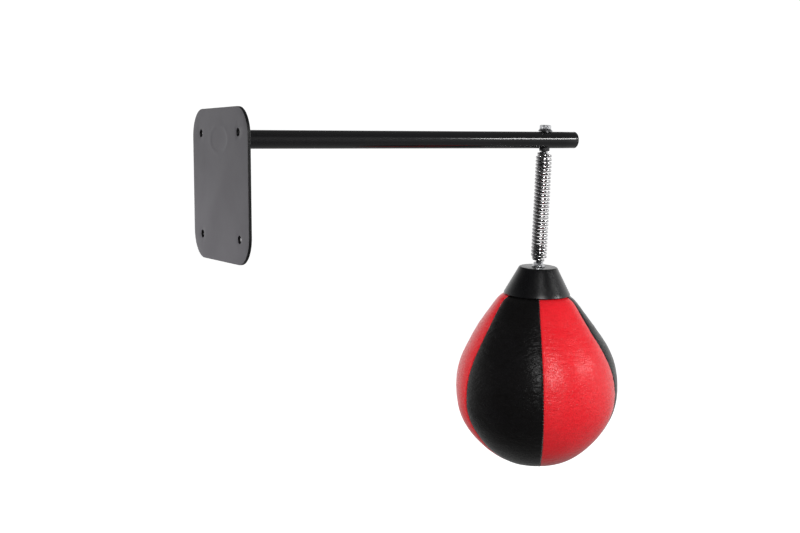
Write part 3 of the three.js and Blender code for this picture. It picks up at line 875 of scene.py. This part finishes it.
def seam_stitches():
    """Waxed thread crossing each seam's groove: one short bowed bar to a stitch."""
    pitch, sides, rings = 4.6, 6, 5
    points, faces = [], []
    for number in range(len(SEAMS)):
        for down in np.arange(52.0, outline.length - 14, pitch):
            radius, level, out_r, out_z = (float(v[0]) for v in outline.at(np.array([down])))
            seam = float(seam_angle(number, level))
            base = len(points)
            sunk = radius * (1 - SEAM_PULL) - 1.15
            for k in range(rings):
                t = 2 * k / (rings - 1) - 1
                thick = 0.42 * math.sqrt(max(0.12, 1 - t * t * 0.85))
                side, rise = t * 1.5, 0.25 * (1 - t * t)
                for j in range(sides):
                    a = 2 * math.pi * j / sides
                    r = sunk + out_r * (rise + thick * math.cos(a))
                    z = level + out_z * (rise + thick * math.cos(a)) + thick * math.sin(a)
                    angle = seam + side / radius
                    points.append((r * math.cos(angle), r * math.sin(angle), z))
            for k in range(rings - 1):
                for j in range(sides):
                    n = (j + 1) % sides
                    faces.append((base + k * sides + j, base + k * sides + n,
                                  base + (k + 1) * sides + n, base + (k + 1) * sides + j))
            faces.append(tuple(base + j for j in range(sides)))
            faces.append(tuple(base + (rings - 1) * sides + j for j in reversed(range(sides))))
    return mesh_object("seam_stitches", hang(np.array(points)).tolist(), faces, place=HANG, sharp=60)


def air_bladder():
    down = np.linspace(60, outline.length - 8, 60)
    radius, level, out_r, out_z = outline.at(down)
    outer = [(r - 6 * a, z - 6 * b) for r, z, a, b in zip(radius, level, out_r, out_z)]
    inner = [(r - 7.4 * a, z - 7.4 * b) for r, z, a, b in zip(radius, level, out_r, out_z)]
    section = [(0, inner[-1][1]), *reversed(inner), (7, 10.6), (7, 12)]
    section += [*outer, (0, outer[-1][1])]
    points, faces = lathe(section, 64)
    return mesh_object("air_bladder", hang(np.array(points)).tolist(), faces, place=HANG, sharp=60)


# ---------------------------------------------------------------- assembly

finish(wall_plate(), "plate", "arm", "plate_powder_coat", "wall_plate")
finish(weld_bead(), "tube", "arm", "tube_powder_coat", "weld_bead")
finish(arm_tube(), "tube", "arm", "tube_powder_coat", "arm_tube")
finish(end_cap(), "plug", "arm", "black_plastic", "tube_end_cap")
finish(arm_bolt(), "zinc", "arm", "bright_zinc", "arm_bolt")
finish(saddle_washer(), "saddle", "arm", "black_plastic", "saddle_washer")
anchor_top = anchor("anchor_top", 5.3, -SPRING_TOP - ANCHOR_INSET)
finish(anchor_top, "steel", "arm", "bright_zinc", "upper_anchor")
anchor_foot = anchor("anchor_foot", 4.3, ANCHOR_INSET + ANCHOR_LENGTH - SPRING_BOTTOM)
finish(anchor_foot, "steel", "bag", "bright_zinc", "lower_anchor")
finish(cap_washer(), "zinc", "bag", "bright_zinc", "cap_washer")
finish(cap_nut(), "zinc", "bag", "bright_zinc", "cap_nut")
finish(bag_bolt(), "steel", "bag", "bright_zinc", "bag_bolt")
finish(cone_cap(), "plastic", "bag", "black_plastic", "cone_cap")

upper_coil = finish(coil("spring_upper_coils", 0, SPLIT), "chrome", None, "spring_chrome", "coil_spring")
lower_coil = finish(coil("spring_lower_coils", SPLIT, 1000), "chrome", None, "spring_chrome", "coil_spring")
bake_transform(upper_coil)
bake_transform(lower_coil)

for number, (node, dye) in enumerate(PANELS):
    leather_piece = panel(node.replace("panel", "leather"), number)
    finish(leather_piece, dye, "bag", dye + "_leather", node)
finish(seam_stitches(), "thread", "bag", "black_leather")
finish(air_bladder(), "rubber", "bag", "bladder_rubber", "bladder")
for node, look in (("clamp_plate", "steel"), ("bladder_valve", "rubber")):
    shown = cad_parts[node]
    shown.data.materials.clear()
    shown.data.materials.append(LOOKS[look].material)

# ---------------------------------------------------------------- floor, light and surroundings

FLOOR_Z, FLOOR_HALF = cad_low.z - 0.35, 20
floor_corners = [(x * FLOOR_HALF, y * FLOOR_HALF, FLOOR_Z) for x, y in ((-1, -1), (1, -1), (1, 1), (-1, 1))]
floor_mesh = bpy.data.meshes.new("floor")
floor_mesh.from_pydata(floor_corners, [], [(0, 1, 2, 3)])
floor = bpy.data.objects.new("floor", floor_mesh)
bpy.context.scene.collection.objects.link(floor)
pale = Look("pale floor")
pale.set(Base_Color=(0.8, 0.8, 0.8, 1), Roughness=0.9, Emission_Color=(1, 1, 1, 1), Emission_Strength=0.9)
floor_mesh.materials.append(pale.material)
floor.visible_glossy = False
floor.visible_diffuse = False

TO_CAMERA = Vector((-math.sin(VIEW_YAW), -math.cos(VIEW_YAW), 0))
TO_RIGHT = Vector((math.cos(VIEW_YAW), -math.sin(VIEW_YAW), 0))
AIM = Vector((0.40, 0.02, -0.12))


def softbox(name, azimuth, elevation, distance, width, height, power, shines=True):
    """A soft rectangular light, placed by its angles from the object: azimuth 0 is towards the camera.

    One that doesn't shine only fills, so it leaves no highlight."""
    a, e = math.radians(azimuth), math.radians(elevation)
    away = (TO_CAMERA * math.cos(a) + TO_RIGHT * math.sin(a)) * math.cos(e) + Vector((0, 0, math.sin(e)))
    lamp = bpy.data.lights.new(name, "AREA")
    lamp.shape, lamp.size, lamp.size_y, lamp.energy = "RECTANGLE", width, height, power
    made = bpy.data.objects.new(name, lamp)
    bpy.context.scene.collection.objects.link(made)
    made.location = AIM + away * distance
    made.rotation_euler = (-away).to_track_quat("-Z", "Y").to_euler()
    made.visible_glossy = shines


softbox("front softbox", 15, 21, 2.2, 0.6, 0.7, 26)
softbox("right softbox", 72, 17, 2.3, 0.8, 0.2, 15)
softbox("left fill", -76, -15, 0.91, 0.4, 0.4, 4, shines=False)
softbox("top fill", 170, 62, 2.4, 1.4, 1.0, 20, shines=False)
softbox("front fill", 10, 5, 2.6, 2.4, 1.8, 28, shines=False)
softbox("low fill", 5, -50, 2.4, 2.2, 1.6, 11, shines=False)


def surroundings():
    """A white backdrop behind the object and a dimmer room in front of it; the camera sees plain white."""
    world = bpy.data.worlds.new("studio")
    bpy.context.scene.world = world
    world.use_nodes = True
    tree = world.node_tree
    tree.nodes.clear()

    def node(kind, inputs=None, **settings):
        made = tree.nodes.new("ShaderNode" + kind)
        for key, value in settings.items():
            setattr(made, key, value)
        for key, value in (inputs or {}).items():
            if isinstance(value, bpy.types.NodeSocket):
                tree.links.new(value, made.inputs[key])
            else:
                made.inputs[key].default_value = value
        return made

    def ramp(value, from_low, from_high, to_low, to_high):
        return node("MapRange", {
            "Value": value, "From Min": from_low, "From Max": from_high, "To Min": to_low, "To Max": to_high,
        }, interpolation_type="SMOOTHSTEP").outputs[0]

    way = node("TexCoord").outputs["Generated"]
    dark_side = TO_CAMERA * math.cos(math.radians(20)) - TO_RIGHT * math.sin(math.radians(20))
    behind = node("VectorMath", {0: way, 1: tuple(-dark_side)}, operation="DOT_PRODUCT").outputs["Value"]
    height = node("SeparateXYZ", {0: way}).outputs[2]
    back = ramp(behind, -0.75, 0.72, 0.03, 1.1)
    under = ramp(height, -0.6, 0.0, 0.35, 1.0)
    over = ramp(height, 0.2, 0.6, 1.0, 0.12)
    level = node("Math", {0: back, 1: under}, operation="MULTIPLY").outputs[0]
    level = node("Math", {0: level, 1: over}, operation="MULTIPLY").outputs[0]
    room = node("Background", {"Color": (1, 1, 1, 1), "Strength": level}).outputs[0]
    white = node("Background", {"Color": (1, 1, 1, 1), "Strength": 1.05}).outputs[0]
    seen = node("LightPath").outputs["Is Camera Ray"]
    mixed = node("MixShader", {0: seen, 1: room, 2: white}).outputs[0]
    node("OutputWorld", {"Surface": mixed})


surroundings()
scene = bpy.context.scene
scene.view_settings.view_transform = "Standard"
scene.view_settings.look = "None"
scene.view_settings.exposure = 0.0
scene.cycles.use_denoising = True
scene.cycles.sample_clamp_indirect = 4.0
